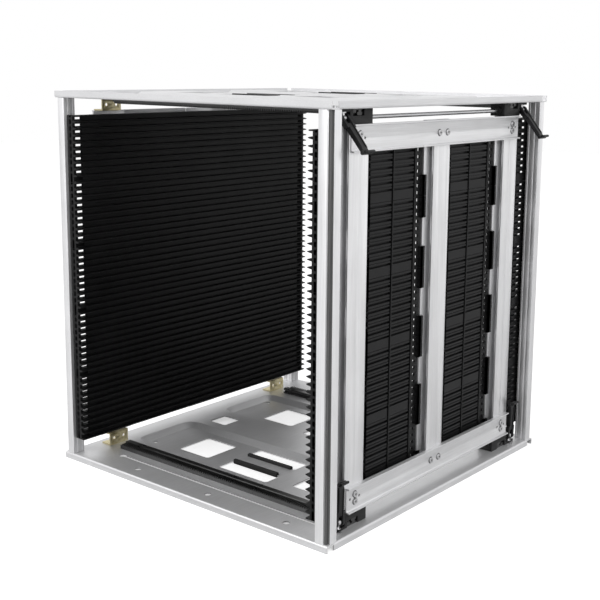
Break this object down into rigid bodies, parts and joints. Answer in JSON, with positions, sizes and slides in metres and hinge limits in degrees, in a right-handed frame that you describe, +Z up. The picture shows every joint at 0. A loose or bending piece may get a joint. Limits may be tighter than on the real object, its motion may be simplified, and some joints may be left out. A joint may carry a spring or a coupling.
{
  "type": "pcb magazine rack",
  "caption": "Open box rack for circuit boards: two slotted side walls between pressed end plates, one wall sliding on toothed rails and clamped by levers.",
  "frame": {"origin": "centre of the footprint, on the plane of the base plate's flange edges that the rack stands on", "axes": "+Z up, +X from the fixed wall to the sliding wall, +Y from the front opening to the back opening along the boards' travel"},
  "size_m": [0.5642, 0.535, 0.57],
  "materials": {
    "plate_aluminium": "satin sheet",
    "extruded_aluminium": "satin anodised",
    "panel_plastic": "moulded, satin",
    "slider_plastic": "moulded",
    "lever_plastic": "moulded",
    "rail_plastic": "moulded",
    "yellow_zinc": "yellow chromate on zinc",
    "steel": "plated",
    "steel_rod": "ground",
    "edge_trim": "matt"
  },
  "bodies": {
    "frame": {"base_plate": "plate_aluminium", "top_plate": "plate_aluminium", "post_front_fixed": "extruded_aluminium", "post_front_moving": "extruded_aluminium", "post_back_fixed": "extruded_aluminium", "post_back_moving": "extruded_aluminium", "post_screws_base": "steel", "post_screws_top": "steel", "rail_base_front": "rail_plastic", "rail_base_back": "rail_plastic", "rail_top_front": "rail_plastic", "rail_top_back": "rail_plastic", "rail_screws_base": "steel", "rail_screws_top": "steel", "grip_strips_base": "edge_trim", "grip_strips_top": "edge_trim", "fixed_panel_1": "panel_plastic", "fixed_panel_2": "panel_plastic", "fixed_panel_3": "panel_plastic", "fixed_panel_4": "panel_plastic", "fixed_panel_5": "panel_plastic", "fixed_upright_front": "extruded_aluminium", "fixed_upright_mid": "extruded_aluminium", "fixed_upright_back": "extruded_aluminium", "fixed_bar_base": "extruded_aluminium", "fixed_bar_top": "extruded_aluminium", "fixed_screws": "steel", "bracket_base_front": "yellow_zinc", "bracket_base_back": "yellow_zinc", "bracket_top_front": "yellow_zinc", "bracket_top_back": "yellow_zinc"},
    "moving_wall": {"moving_panel_1": "panel_plastic", "moving_panel_2": "panel_plastic", "moving_panel_3": "panel_plastic", "moving_panel_4": "panel_plastic", "moving_panel_5": "panel_plastic", "moving_upright_front": "extruded_aluminium", "moving_upright_mid": "extruded_aluminium", "moving_upright_back": "extruded_aluminium", "moving_bar_base": "extruded_aluminium", "moving_bar_top": "extruded_aluminium", "moving_screws": "steel", "slider_base_front": "slider_plastic", "slider_base_back": "slider_plastic", "slider_top_front": "slider_plastic", "slider_top_back": "slider_plastic", "stud_base_front": "steel", "stud_base_back": "steel", "stud_top_front": "steel", "stud_top_back": "steel"},
    "lever_base_front": {"lever_base_front": "lever_plastic"},
    "lever_base_back": {"lever_base_back": "lever_plastic"},
    "lever_top_front": {"lever_top_front": "lever_plastic"},
    "lever_top_back": {"lever_top_back": "lever_plastic"},
    "shaft_base_body": {"shaft_base": "steel_rod"},
    "shaft_top_body": {"shaft_top": "steel_rod"}
  },
  "joints": [
    {"name": "wall_slide", "type": "slide", "parent": "frame", "child": "moving_wall", "axis": [1, 0, 0], "range_m": [-0.41, 0]},
    {"name": "lever_base_front_swing", "type": "hinge", "parent": "moving_wall", "child": "lever_base_front", "pos_m": [0.246, -0.222, 0.0222], "axis": [0, 1, 0], "range_deg": [0, 80]},
    {"name": "lever_base_back_swing", "type": "hinge", "parent": "moving_wall", "child": "lever_base_back", "pos_m": [0.246, 0.222, 0.0222], "axis": [0, 1, 0], "range_deg": [0, 80]},
    {"name": "lever_top_front_swing", "type": "hinge", "parent": "moving_wall", "child": "lever_top_front", "pos_m": [0.246, -0.222, 0.5478], "axis": [0, -1, 0], "range_deg": [-38, 42]},
    {"name": "lever_top_back_swing", "type": "hinge", "parent": "moving_wall", "child": "lever_top_back", "pos_m": [0.246, 0.222, 0.5478], "axis": [0, -1, 0], "range_deg": [-38, 42]},
    {"name": "shaft_base_spin", "type": "hinge", "parent": "moving_wall", "child": "shaft_base_body", "pos_m": [0.238, 0, 0.0222], "axis": [0, 1, 0], "range_deg": [-4698.25, 0]},
    {"name": "shaft_top_spin", "type": "hinge", "parent": "moving_wall", "child": "shaft_top_body", "pos_m": [0.238, 0, 0.5478], "axis": [0, -1, 0], "range_deg": [-4698.25, 0]}
  ],
  "couplings": [
    {"joint": "shaft_base_spin", "follows": "wall_slide", "rad_per_m": 200},
    {"joint": "shaft_top_spin", "follows": "wall_slide", "rad_per_m": 200}
  ]
}
